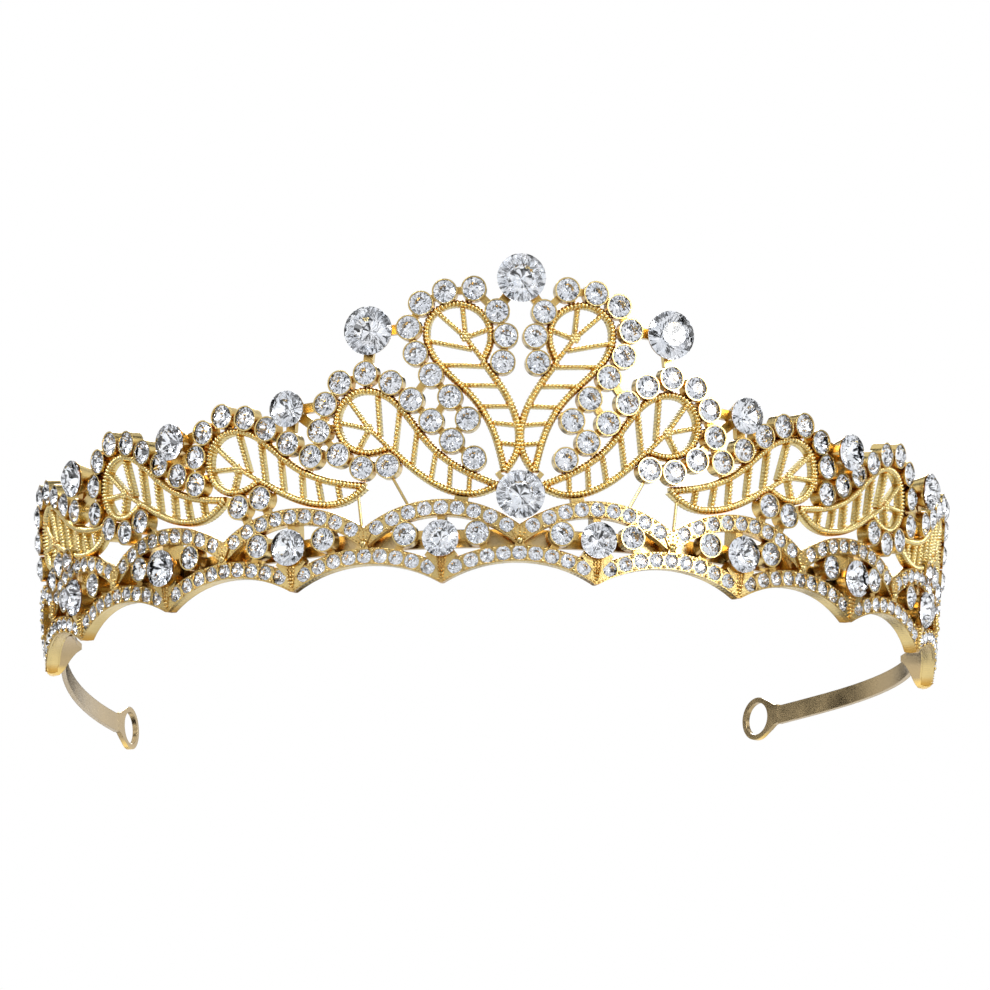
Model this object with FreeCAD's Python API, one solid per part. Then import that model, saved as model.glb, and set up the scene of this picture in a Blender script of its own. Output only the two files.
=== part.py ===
import FreeCAD, Part
import math
import os

# Bridal tiara, in millimetres.  Z is up, the front faces -Y and +X is to the right of a viewer
# who faces the tiara.  The origin is the centre of the base circle, on the plane that the
# lowest points of the tiara stand on.
#
# Everything above the head strip lies on one leaning wall.  Places on that wall are given as
# (along, up): millimetres around the base circle from the centre line, and millimetres up the
# wall.  The third number, out, is the distance a point stands proud of the wall.

# --- the wall -------------------------------------------------------------------------------------
WALL_RADIUS = 72.0
WALL_LEAN = math.radians(4.0)
WALL_FOOT = 0.0
WALL_CREST = 60.0
HALF_REACH = 140.0

# --- the two stone-set rails ----------------------------------------------------------------------
CELL_PITCH = math.pi * WALL_RADIUS / 9
CELLS_PER_SIDE = 4
RAIL_BACK = -1.2
RAIL_FRONT = 1.0
LOWER_ROW_TOP = 4.87
LOWER_ROW_RADIUS = 25.5
LOWER_RAIL_HALF = 1.35
LOWER_STONE_STEP = 2.6
ARCH_ROW_TOP = 12.4
ARCH_ROW_RADIUS = 20.0
ARCH_RAIL_HALF = 1.35
ARCH_STONE_STEP = 2.62
STONES_EACH_WAY = 4
END_ARCH_MIDDLE = (108.0, 7.0)
END_ARCH_ROW = [(100.6, 8.2), (104.6, 11.3), (108.4, 12.3), (111.8, 10.6), (113.4, 7.0),
                (113.0, 1.2)]
END_ARCH_STONES = [(102.9, 10.1), (105.2, 11.6), (107.7, 12.3), (110.3, 11.7), (112.3, 10.0),
                   (113.3, 7.5), (113.5, 4.9)]
RAIL_HOLE_SHARE = 0.45
RAIL_LINE_SHARES = (-1.2, -0.9, -0.6, -0.3, 0, 0.3, 0.6, 0.9, 1.2)
BLANK_DEPTH = 6.0

# --- stones: radius, and how far the girdle stands proud of the wall ------------------------------
PAVE = {"radius": 1.2, "girdle": 0.85}
RING = {"radius": 1.85, "girdle": 1.05}
CELL_SIDE = {"radius": 1.85, "girdle": 1.15}
CELL_CENTRE = {"radius": 3.0, "girdle": 1.9}
CREST_SMALL = {"radius": 3.0, "girdle": 2.6}
CREST_LARGE = {"radius": 4.0, "girdle": 2.4}
TABLE_SHARE = 0.5
CROWN_SHARE = 0.34
GIRDLE_SHARE = 0.07
PAVILION_SHARE = 0.86
SEAT_PLAY = 0.02

# --- cups -----------------------------------------------------------------------------------------
CUP_WALL = 0.24
CUP_LIP = 0.2
CUP_BACK = -0.9
CUP_HOLE_SHARE = 0.4
CONE_CUP_FOOT = 0.62
CONE_CUP_DROP = 0.35
CONE_CUP_INSET = 0.08

# --- the paisley casting, in its own flat frame with the tail tip at the origin -------------------
LEAF_TOP_EDGE = [(0, 0), (6.2, 1.3), (11.7, 3.9), (16.7, 8.2), (21.7, 11.1), (26.2, 10.3),
                 (28.0, 5.8), (25.2, 1.7), (21.5, 1.25), (18.4, 2.6)]
LEAF_LOW_EDGE = [(18.4, 2.6), (14.9, 0.4), (11.1, -1.5), (7.0, -2.5), (3.0, -2.0), (0, 0)]
LEAF_RIBS = [((4.9, 1.0), (4.4, -2.2)), ((8.3, 2.1), (7.6, -2.3)), ((11.0, 3.4), (10.8, -1.4)),
             ((14.7, 6.2), (14.2, 0.3)), ((18.2, 9.2), (17.5, 2.2)), ((22.3, 11.1), (20.4, 4.2))]
LEAF_FAN_CENTRE = (22.4, 5.1)
LEAF_FAN_ENDS = [(26.9, 9.4), (28.0, 5.4), (23.6, 1.4), (18.6, 2.6)]
LEAF_EDGE_WIDTH = 1.3
LEAF_RIB_WIDTH = 0.95
LEAF_BACK = -0.9
LEAF_FRONT = 0.9
LEAF_RIB_FRONT = 0.55
LEAF_KNOB = 0.85
EDGE_SAMPLES = 60
CUP_RING = [(8.75, 5.45), (12.6, 8.0), (16.4, 10.8), (20.15, 13.0), (24.5, 13.85), (28.3, 11.7),
            (30.0, 7.9), (30.2, 3.4), (26.3, 0.0), (22.0, -1.5), (17.9, -0.5)]
RING_CHAIN_REACH = 5.4
LEAF_LINK_REACH = 3.4
LINK_WIDTH = 1.2
LINK_BACK = -0.7
LINK_FRONT = 0.45

# Where each casting sits on the right half: tail tip, turn in degrees, -1 for the mirrored
# casting, ring places left without a cup, cups added in the casting's own frame, and bars that
# run from ring cups down to the arch below.
CASTINGS = [
    {"tail": (2.4, 18.3), "turn": 87.3, "flip": -1, "empty": [9], "added": [(22.2, -1.15)],
     "legs": []},
    {"tail": (3.4, 16.1), "turn": 12.5, "flip": 1, "empty": [], "added": [(4.7, 3.3)],
     "legs": []},
    {"tail": (24.9, 16.5), "turn": 0.0, "flip": 1, "empty": [8], "added": [],
     "legs": [((42.8, 16.0), (41.8, 12.8)), ((46.8, 14.9), (45.7, 12.0))]},
    {"tail": (50.0, 16.7), "turn": -1.0, "flip": 1, "empty": [], "added": [],
     "legs": [((67.9, 15.9), (65.6, 13.0))]},
    {"tail": (77.7, 17.3), "turn": -8.0, "flip": 1, "empty": [8], "added": [(13.9, -1.3)],
     "legs": [((91.4, 14.0), (90.6, 12.4)), ((99.3, 12.3), (100.5, 9.4)),
              ((107.9, 16.6), (108.4, 12.8))]},
]
# Bars between neighbouring castings.
CASTING_TIES = [
    [((14.1, 34.4), (17.3, 30.1)), ((11.2, 30.7), (14.1, 26.5)), ((8.6, 26.9), (10.9, 23.2))],
    [((32.1, 25.9), (33.6, 22.3)), ((29.2, 21.7), (33.6, 22.3))],
    [((55.0, 20.3), (58.9, 22.0)), ((50.1, 16.8), (46.8, 15.3))],
    [((80.4, 24.2), (87.1, 21.5)), ((80.4, 19.6), (83.5, 17.7))],
    [],
]

# --- crest stones and the places their bars reach to ----------------------------------------------
CREST_TOP = {"at": (0.0, 49.9), "size": CREST_LARGE, "bars": [(-3.7, 45.0), (3.7, 45.0)]}
CREST_LOW = {"at": (0.0, 14.25), "size": CREST_LARGE,
             "bars": [(-3.3, 18.4), (3.3, 18.4), (-3.6, 16.1), (3.6, 16.1)]}
CREST_SIDE = [
    {"at": (23.4, 41.7), "size": CREST_LARGE, "bars": [(17.0, 42.2), (24.3, 35.0)]},
    {"at": (36.9, 29.9), "size": CREST_SMALL, "bars": [(31.0, 30.3), (32.1, 26.0), (37.5, 24.9)]},
    {"at": (58.9, 27.4), "size": CREST_SMALL, "bars": [(53.2, 28.6), (54.9, 24.8), (59.0, 22.4)]},
    {"at": (84.6, 26.3), "size": CREST_SMALL, "bars": [(80.2, 24.4), (87.1, 21.5)]},
]
CREST_BAR_WIDTH = 1.6

# --- small ornaments and supports -----------------------------------------------------------------
KNOT_OUTLINE = [(-0.9, 5.9), (0.9, 5.9), (0.5, 6.9), (1.3, 8.5), (0.7, 9.3), (-0.7, 9.3),
                (-1.3, 8.5), (-0.5, 6.9)]
KNOT_BACK = -3.0
KNOT_FRONT = 1.35
END_FAN_OUTLINE = [(106.2, 4.2), (107.4, 4.2), (110.0, 8.6), (108.4, 9.8), (106.4, 10.2),
                   (104.4, 9.6)]
END_FAN_FRONT = 0.8
FLARE_OUTLINE = [(-0.8, 2.4), (0.8, 2.4), (2.7, 4.6), (1.6, 6.0), (-1.6, 6.0), (-2.7, 4.6)]
FLARE_MIDDLE = 4.0
FLARE_FRONT = 1.15
CELL_STONE_UP = 7.2
CELL_SIDE_OFFSET = 5.8
CELL_SIDE_UP = 8.1
CELL_BARS = [((0, 8.0), (0, 11.8)), ((0, 7.6), (5.8, 8.1)), ((0, 7.6), (-5.8, 8.1)),
             ((5.8, 8.1), (8.0, 10.6)), ((-5.8, 8.1), (-8.0, 10.6)),
             ((5.8, 8.1), (7.6, 4.4)), ((-5.8, 8.1), (-7.6, 4.4))]
CELL_BAR_WIDTH = 1.3
PAD_WIDTH = 2.2
PAD = ((9.6, 12.6), (9.2, 14.6))
WIRE_RADIUS = 0.24
WIRES = [((20.4, 17.6), (17.9, 12.9)), ((26.2, 15.6), (25.6, 8.6))]

# --- head strip, loops and end plates -------------------------------------------------------------
STRIP_RADIUS = 70.0
STRIP_THICKNESS = 0.8
STRIP_WIDTH = 3.0
STRIP_FRONT_HEIGHT = 7.8
STRIP_END_HEIGHT = 3.3
STRIP_LEVEL_ANGLE = math.radians(132.0)
STRIP_FALL_POWER = 1.2
ARM_START = math.radians(90.0)
# Each free arm by side: where it ends, how far it is sprung outwards there as a share of the
# radius, and how much the spring eases off again towards the loop (0 to 1).
ARMS = {-1: {"end": math.radians(131.3), "bend": 0.1127, "ease": 0.0},
        1: {"end": math.radians(126.8), "bend": -0.095, "ease": 1.0}}
TANGENT_STEP = 0.001
STRIP_SECTIONS = 48
LOOP_OUTER = 3.55
LOOP_HOLE = 2.7
LOOP_CENTRE_AHEAD = 5.4
LOOP_NECK = [(-5.4, 1.5), (-4.3, 1.7), (-3.3, 2.3), (-1.9, 3.0)]
PLATE_PLAN = [(101.0, -1.5), (103.4, -2.6), (105.8, -3.4), (107.6, -4.4), (108.9, -3.6),
              (110.6, -2.9), (112.6, -2.1), (114.4, -1.2), (115.4, -0.3), (114.9, 0.3),
              (113.2, 0.8), (111.0, 1.05), (101.0, 1.05)]
PLATE_THICKNESS = 0.9
PLATE_LINE_SHARES = (-0.2, 0.2, 0.5, 0.8, 1.0, 1.25)
PLATE_LOWEST_LINE = 0.46
PLATE_BLANK_DEPTH = 12.0
TIP_BACK_CUT = [(109.6, -1.6), (113.8, -0.3), (116.0, -0.3), (116.0, -1.6)]
TIP_FRONT_CUT = [(111.2, 1.1), (113.8, 0.2), (116.0, 0.2), (116.0, 1.1)]

SCRAP_VOLUME = 0.25


# --- working on the wall --------------------------------------------------------------------------

def on_wall(along, up, out=0.0):
    """Point of the leaning wall in the tiara's frame."""
    angle = along / WALL_RADIUS
    radius = WALL_RADIUS + up * math.sin(WALL_LEAN) + out * math.cos(WALL_LEAN)
    height = up * math.cos(WALL_LEAN) - out * math.sin(WALL_LEAN)
    return FreeCAD.Vector(radius * math.sin(angle), -radius * math.cos(angle), height)


def wall_frame(along, up):
    """Placement with X along the band, Y up the wall and Z straight out of it."""
    angle = along / WALL_RADIUS
    across = FreeCAD.Vector(math.cos(angle), math.sin(angle), 0)
    outward = FreeCAD.Vector(math.cos(WALL_LEAN) * math.sin(angle),
                             -math.cos(WALL_LEAN) * math.cos(angle), -math.sin(WALL_LEAN))
    upward = outward.cross(across)
    turn = FreeCAD.Rotation(across, upward, outward, "ZXY")
    return FreeCAD.Placement(on_wall(along, up), turn)


def flattened(frame, places):
    """Wall places as points of the frame's own XY plane."""
    to_local = frame.inverse()
    points = [to_local.multVec(on_wall(along, up)) for along, up in places]
    return [FreeCAD.Vector(point.x, point.y, 0) for point in points]


def wall_slab(back, front, start, end):
    """Piece of the wall between two depths and two places along the band."""
    corners = []
    for out, height in ((back, WALL_FOOT), (front, WALL_FOOT), (front, WALL_CREST),
                        (back, WALL_CREST)):
        radius = WALL_RADIUS + out / math.cos(WALL_LEAN) + height * math.tan(WALL_LEAN)
        corners.append(FreeCAD.Vector(0, -radius, height))
    corners.append(corners[0])
    section = Part.Face(Part.makePolygon(corners))
    slab = section.revolve(FreeCAD.Vector(0, 0, 0), FreeCAD.Vector(0, 0, 1),
                           math.degrees((end - start) / WALL_RADIUS))
    slab.rotate(FreeCAD.Vector(0, 0, 0), FreeCAD.Vector(0, 0, 1),
                math.degrees(start / WALL_RADIUS))
    return slab


def outline_face(points):
    return Part.Face(Part.makePolygon(points + [points[0]]))


def raised(face, frame, back, front):
    """Straight solid over a flat face of the frame, between two depths."""
    placed = face.copy()
    placed.translate(FreeCAD.Vector(0, 0, back))
    solid = placed.extrude(FreeCAD.Vector(0, 0, front - back))
    solid.Placement = frame
    return solid


def ribbon(points, width):
    """Face of constant width along a smooth line through the points."""
    line = Part.BSplineCurve()
    line.interpolate(points)
    steps = 2 * len(points)
    sides = []
    for sign in (1, -1):
        side_points = []
        for step in range(steps + 1):
            share = step / steps
            place = line.FirstParameter + share * (line.LastParameter - line.FirstParameter)
            ahead = line.tangent(place)[0]
            across = FreeCAD.Vector(-ahead.y, ahead.x, 0)
            side_points.append(line.value(place) + across * (sign * width / 2))
        side = Part.BSplineCurve()
        side.interpolate(side_points)
        sides.append(side.toShape())
    first, second = sides
    start = Part.makeLine(first.Vertexes[0].Point, second.Vertexes[0].Point)
    end = Part.makeLine(first.Vertexes[1].Point, second.Vertexes[1].Point)
    return Part.Face(Part.Wire(Part.__sortEdges__([first, end, second, start])))


def bar(start, end, width, back=LINK_BACK, front=LINK_FRONT):
    """Straight bar between two places of the wall."""
    frame = wall_frame((start[0] + end[0]) / 2, (start[1] + end[1]) / 2)
    first, second = flattened(frame, [start, end])
    ahead = (second - first).normalize()
    across = FreeCAD.Vector(-ahead.y, ahead.x, 0) * (width / 2)
    face = outline_face([first + across, second + across, second - across, first - across])
    return raised(face, frame, back, front)


def turned(profile, frame):
    """Solid of revolution about the frame's Z axis from (radius, out) points."""
    points = [FreeCAD.Vector(radius, 0, out) for radius, out in profile]
    section = outline_face(points)
    solid = section.revolve(FreeCAD.Vector(0, 0, 0), FreeCAD.Vector(0, 0, 1), 360)
    solid.Placement = frame
    return solid


# --- joining parts --------------------------------------------------------------------------------

def joined(pieces):
    if len(pieces) == 1:
        return pieces[0]
    return pieces[0].fuse(pieces[1:])


def trimmed(shape, neighbours):
    """The shape cut back to the faces of the parts it is soldered to."""
    touching = [part for part in neighbours if part.BoundBox.intersect(shape.BoundBox)]
    if touching:
        shape = shape.cut(touching)
    return shape


def without_scraps(shape):
    """The shape's solids, without the scraps that trimming leaves."""
    solids = [solid for solid in shape.Solids if solid.Volume > SCRAP_VOLUME]
    if len(solids) == 1:
        return solids[0]
    return Part.makeCompound(solids)


def main_solid(shape):
    return max(shape.Solids, key=lambda solid: solid.Volume)


def mirrored(shape):
    return shape.mirror(FreeCAD.Vector(0, 0, 0), FreeCAD.Vector(1, 0, 0))


# --- stones and cups ------------------------------------------------------------------------------

def stone(size, place):
    """Round stone: flat table, sloping crown, thin girdle and pointed back."""
    radius = size["radius"]
    girdle = size["girdle"]
    crown_foot = girdle + GIRDLE_SHARE * radius
    profile = [(0, girdle - PAVILION_SHARE * radius), (radius, girdle), (radius, crown_foot),
               (TABLE_SHARE * radius, crown_foot + CROWN_SHARE * radius),
               (0, crown_foot + CROWN_SHARE * radius)]
    return turned(profile, wall_frame(*place))


def seat(size, place, hole_share):
    """Everything a stone needs cleared: the space above it, its own cone and a hole behind."""
    radius = size["radius"] + SEAT_PLAY
    above = size["girdle"] + SEAT_PLAY * PAVILION_SHARE
    hole = hole_share * size["radius"]
    hole_top = size["girdle"] - PAVILION_SHARE * (size["radius"] - hole)
    profile = [(0, KNOT_BACK), (hole, KNOT_BACK), (hole, hole_top), (radius, above),
               (radius, above + radius), (0, above + radius)]
    return turned(profile, wall_frame(*place))


def straight_cup(size, place):
    """Plain tube that holds a small stone."""
    radius = size["radius"] + CUP_WALL
    top = size["girdle"] + CUP_LIP
    profile = [(0, CUP_BACK), (radius, CUP_BACK), (radius, top), (0, top)]
    return turned(profile, wall_frame(*place))


def cone_cup(size, place):
    """Cup that carries a large stone from behind and ends just under its girdle."""
    radius = size["radius"]
    top = size["girdle"] - CONE_CUP_DROP
    profile = [(0, CUP_BACK), (CONE_CUP_FOOT * radius, CUP_BACK),
               (radius - CONE_CUP_INSET, top), (0, top)]
    return turned(profile, wall_frame(*place))


# --- rails ----------------------------------------------------------------------------------------

def row_height(offset, top, radius):
    """Height of a stone row that follows a circular arc."""
    return top - (radius - math.sqrt(radius ** 2 - offset ** 2))


def row_places(centre, top, radius, step):
    places = []
    for count in range(-STONES_EACH_WAY, STONES_EACH_WAY + 1):
        offset = count * step
        places.append((centre + offset, row_height(offset, top, radius)))
    return places


def rail_blank(centre, top, radius, half_height):
    """One arc of rail, ending on the radial planes of the two cusps."""
    frame = wall_frame(centre, top)
    offsets = [CELL_PITCH / 2 * share for share in RAIL_LINE_SHARES]
    row = [(centre + offset, row_height(offset, top, radius)) for offset in offsets]
    prism = raised(ribbon(flattened(frame, row), 2 * half_height), frame,
                   -BLANK_DEPTH, BLANK_DEPTH)
    start = centre - CELL_PITCH / 2
    slab = wall_slab(RAIL_BACK, RAIL_FRONT, start, start + CELL_PITCH)
    return prism.common(slab)


def lower_blanks():
    """Nine scallops of the lower rail, from the left tip to the right tip."""
    centres = [count * CELL_PITCH for count in range(-CELLS_PER_SIDE, CELLS_PER_SIDE + 1)]
    blanks = [rail_blank(centre, LOWER_ROW_TOP, LOWER_ROW_RADIUS, LOWER_RAIL_HALF)
              for centre in centres]
    places = []
    for centre in centres:
        places += row_places(centre, LOWER_ROW_TOP, LOWER_ROW_RADIUS, LOWER_STONE_STEP)
    return blanks, places


def cell_centres():
    return [(count + 0.5) * CELL_PITCH for count in range(CELLS_PER_SIDE)]


def end_arch_blank():
    """Rail that closes the band at its right tip."""
    frame = wall_frame(*END_ARCH_MIDDLE)
    prism = raised(ribbon(flattened(frame, END_ARCH_ROW), 2 * ARCH_RAIL_HALF), frame,
                   -BLANK_DEPTH, BLANK_DEPTH)
    start = CELLS_PER_SIDE * CELL_PITCH
    return prism.common(wall_slab(RAIL_BACK, RAIL_FRONT, start, start + CELL_PITCH))


def set_with(blank, size, places):
    """Rail with a seat for every stone."""
    return blank.cut([seat(size, place, RAIL_HOLE_SHARE) for place in places])


# --- paisley castings -----------------------------------------------------------------------------

def casting_place(casting, point):
    """Wall place of a point given in the casting's own flat frame."""
    turn = math.radians(casting["turn"])
    ahead = point[0]
    aside = point[1] * casting["flip"]
    return (casting["tail"][0] + ahead * math.cos(turn) - aside * math.sin(turn),
            casting["tail"][1] + ahead * math.sin(turn) + aside * math.cos(turn))


def casting_frame(casting):
    return wall_frame(*casting_place(casting, (LEAF_FAN_CENTRE[0] / 2, 0)))


def leaf(casting):
    """Openwork paisley: two edge lines, slanting ribs and a fan in the head."""
    frame = casting_frame(casting)

    def flat(points):
        return flattened(frame, [casting_place(casting, point) for point in points])

    def leaf_blank(face):
        return raised(face, frame, -BLANK_DEPTH, BLANK_DEPTH)

    def round_blank(point, radius):
        return leaf_blank(Part.Face(Part.Wire(Part.makeCircle(radius, flat([point])[0]))))

    edges = []
    for line in (LEAF_TOP_EDGE, LEAF_LOW_EDGE):
        edges.append(leaf_blank(ribbon(flat(line), LEAF_EDGE_WIDTH)))
    edges.append(round_blank((0, 0), LEAF_EDGE_WIDTH / 2))

    fan = [(LEAF_FAN_CENTRE, end) for end in LEAF_FAN_ENDS]
    ribs = []
    for rib in LEAF_RIBS + fan:
        ribs.append(leaf_blank(ribbon(flat(rib), LEAF_RIB_WIDTH)))
    ribs.append(round_blank(LEAF_FAN_CENTRE, LEAF_KNOB))

    reach = WALL_RADIUS / 2
    start = max(0.0, casting["tail"][0] - reach)
    end = casting["tail"][0] + reach
    edge_part = joined(edges).common(wall_slab(LEAF_BACK, LEAF_FRONT, start, end))
    rib_part = joined(ribs).common(wall_slab(LEAF_BACK, LEAF_RIB_FRONT, start, end))
    return edge_part.fuse(rib_part)


def ring_places(casting):
    """Wall places of the casting's cups, in order around the leaf."""
    places = [casting_place(casting, point) for index, point in enumerate(CUP_RING)
              if index not in casting["empty"]]
    return places + [casting_place(casting, point) for point in casting["added"]]


def distance(first, second):
    return math.hypot(first[0] - second[0], first[1] - second[1])


def nearest_edge_place(casting, place):
    """Place on the leaf's edge lines nearest to a cup."""
    candidates = []
    for line in (LEAF_TOP_EDGE, LEAF_LOW_EDGE):
        curve = Part.BSplineCurve()
        curve.interpolate([FreeCAD.Vector(x, y, 0) for x, y in line])
        for point in curve.discretize(EDGE_SAMPLES):
            candidates.append(casting_place(casting, (point.x, point.y)))
    return min(candidates, key=lambda candidate: distance(candidate, place))


def cup_ring(casting, ties):
    """Cups around a leaf, chained to each other, to the leaf and to the next casting."""
    places = ring_places(casting)
    pieces = [straight_cup(RING, place) for place in places]
    for index, place in enumerate(places):
        for other in places[index + 1:]:
            if distance(place, other) < RING_CHAIN_REACH:
                pieces.append(bar(place, other, LINK_WIDTH))
        foot = nearest_edge_place(casting, place)
        if distance(place, foot) < LEAF_LINK_REACH:
            pieces.append(bar(place, foot, LINK_WIDTH))
    for start, end in ties + casting["legs"]:
        pieces.append(bar(start, end, LINK_WIDTH))
    ring = joined(pieces)
    return ring.cut([seat(RING, place, CUP_HOLE_SHARE) for place in places])


# --- cells, crest and ornaments -------------------------------------------------------------------

def cell_places(centre):
    sides = [(centre - CELL_SIDE_OFFSET, CELL_SIDE_UP), (centre + CELL_SIDE_OFFSET, CELL_SIDE_UP)]
    return (centre, CELL_STONE_UP), sides


def cell_setting(centre):
    """One large cup and two small ones, with the bars that hold them between the rails."""
    middle, sides = cell_places(centre)
    flare = outline_face([FreeCAD.Vector(x, y - FLARE_MIDDLE, 0) for x, y in FLARE_OUTLINE])
    pieces = [cone_cup(CELL_CENTRE, middle),
              raised(flare, wall_frame(centre, FLARE_MIDDLE), RAIL_BACK, FLARE_FRONT)]
    pieces += [straight_cup(CELL_SIDE, place) for place in sides]
    for start, end in CELL_BARS:
        pieces.append(bar((centre + start[0], start[1]), (centre + end[0], end[1]),
                          CELL_BAR_WIDTH, KNOT_BACK if start[0] == 0 else LINK_BACK))
    tools = [seat(CELL_CENTRE, middle, CUP_HOLE_SHARE)]
    tools += [seat(CELL_SIDE, place, CUP_HOLE_SHARE) for place in sides]
    return joined(pieces).cut(tools)


def crest_cup(crest):
    """Cone cup of a crest stone with its bars."""
    pieces = [cone_cup(crest["size"], crest["at"])]
    pieces += [bar(crest["at"], end, CREST_BAR_WIDTH) for end in crest["bars"]]
    return joined(pieces).cut(seat(crest["size"], crest["at"], CUP_HOLE_SHARE))


def knot(along):
    """Hourglass ornament that ties two arches to the lower rail and to the head strip."""
    middle = KNOT_OUTLINE[0][1]
    frame = wall_frame(along, middle)
    face = outline_face([FreeCAD.Vector(x, y - middle, 0) for x, y in KNOT_OUTLINE])
    return raised(face, frame, KNOT_BACK, KNOT_FRONT)


def end_fan():
    """Small fan inside the closing arch at the right tip."""
    frame = wall_frame(*END_ARCH_MIDDLE)
    return raised(outline_face(flattened(frame, END_FAN_OUTLINE)), frame, LINK_BACK,
                  END_FAN_FRONT)


def wire(start, end):
    """Thin straight support wire."""
    first = on_wall(*start)
    second = on_wall(*end)
    return Part.makeCylinder(WIRE_RADIUS, (second - first).Length, first, second - first)


# --- head strip, loops and end plates -------------------------------------------------------------

def strip_centre(angle):
    """Middle of the head strip; the free arms are sprung unevenly, as on the real piece."""
    turn = abs(angle)
    radius = STRIP_RADIUS
    if turn > ARM_START:
        arm = ARMS[-1 if angle < 0 else 1]
        share = (turn - ARM_START) / (arm["end"] - ARM_START)
        radius *= 1 + arm["bend"] * share ** 2 * (1 + 2 * arm["ease"] * (1 - share))
    fall = min(1.0, turn / STRIP_LEVEL_ANGLE) ** STRIP_FALL_POWER
    rise = math.cos(math.pi * fall / 2) ** 2
    height = STRIP_END_HEIGHT + (STRIP_FRONT_HEIGHT - STRIP_END_HEIGHT) * rise
    return FreeCAD.Vector(radius * math.sin(angle), -radius * math.cos(angle), height)


def strip_directions(angle):
    """Level directions along the strip and out of its face."""
    ahead = strip_centre(angle + TANGENT_STEP) - strip_centre(angle - TANGENT_STEP)
    ahead.z = 0
    ahead.normalize()
    return ahead, FreeCAD.Vector(ahead.y, -ahead.x, 0)


def headband_strip():
    """Flat strip bent round the head, from loop to loop."""
    first = -ARMS[-1]["end"]
    last = ARMS[1]["end"]
    sections = []
    for count in range(STRIP_SECTIONS + 1):
        angle = first + (last - first) * count / STRIP_SECTIONS
        outward = strip_directions(angle)[1] * (STRIP_THICKNESS / 2)
        upward = FreeCAD.Vector(0, 0, STRIP_WIDTH / 2)
        centre = strip_centre(angle)
        corners = [centre - outward - upward, centre + outward - upward,
                   centre + outward + upward, centre - outward + upward]
        sections.append(Part.makePolygon(corners + [corners[0]]))
    return Part.makeLoft(sections, True)


def loop_frame(side):
    """Placement with X along the strip away from its end, Y up and Z through the loop."""
    angle = side * ARMS[side]["end"]
    away = strip_directions(angle)[0] * side
    upward = FreeCAD.Vector(0, 0, 1)
    turn = FreeCAD.Rotation(away, upward, away.cross(upward), "YXZ")
    base = strip_centre(angle)
    base.z = LOOP_OUTER
    return FreeCAD.Placement(base + away * LOOP_CENTRE_AHEAD, turn)


def end_loop(side, strip):
    """Ring for a tie or comb, on a neck that widens from the strip's end."""
    back = FreeCAD.Vector(0, 0, -STRIP_THICKNESS / 2)
    ring = Part.makeCylinder(LOOP_OUTER, STRIP_THICKNESS, back)
    upper = [FreeCAD.Vector(x, y, back.z) for x, y in LOOP_NECK]
    lower = [FreeCAD.Vector(x, -y, back.z) for x, y in reversed(LOOP_NECK)]
    neck = outline_face(upper + lower).extrude(back * -2)
    loop = ring.fuse(neck).cut(Part.makeCylinder(LOOP_HOLE, STRIP_THICKNESS, back))
    loop.Placement = loop_frame(side)
    return main_solid(loop.cut(strip))


def plan_column(plan):
    """Upright column over (along, out) places on the base plane."""
    points = [on_wall(along, 0, out) for along, out in plan]
    points = [FreeCAD.Vector(point.x, point.y, WALL_FOOT) for point in points]
    return outline_face(points).extrude(FreeCAD.Vector(0, 0, WALL_CREST))


def end_plate():
    """Smooth pointed plate that closes the underside of the band at its right tip."""
    centre = CELLS_PER_SIDE * CELL_PITCH
    frame = wall_frame(centre, LOWER_ROW_TOP)
    drop = LOWER_RAIL_HALF - PLATE_THICKNESS / 2
    line = []
    for share in PLATE_LINE_SHARES:
        offset = CELL_PITCH / 2 * share
        height = row_height(offset, LOWER_ROW_TOP, LOWER_ROW_RADIUS) - drop
        line.append((centre + offset, max(height, PLATE_LOWEST_LINE)))
    sheet = raised(ribbon(flattened(frame, line), PLATE_THICKNESS), frame,
                   -PLATE_BLANK_DEPTH, PLATE_BLANK_DEPTH)
    return main_solid(sheet.common(plan_column(PLATE_PLAN)))


# --- the whole tiara ------------------------------------------------------------------------------

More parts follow.
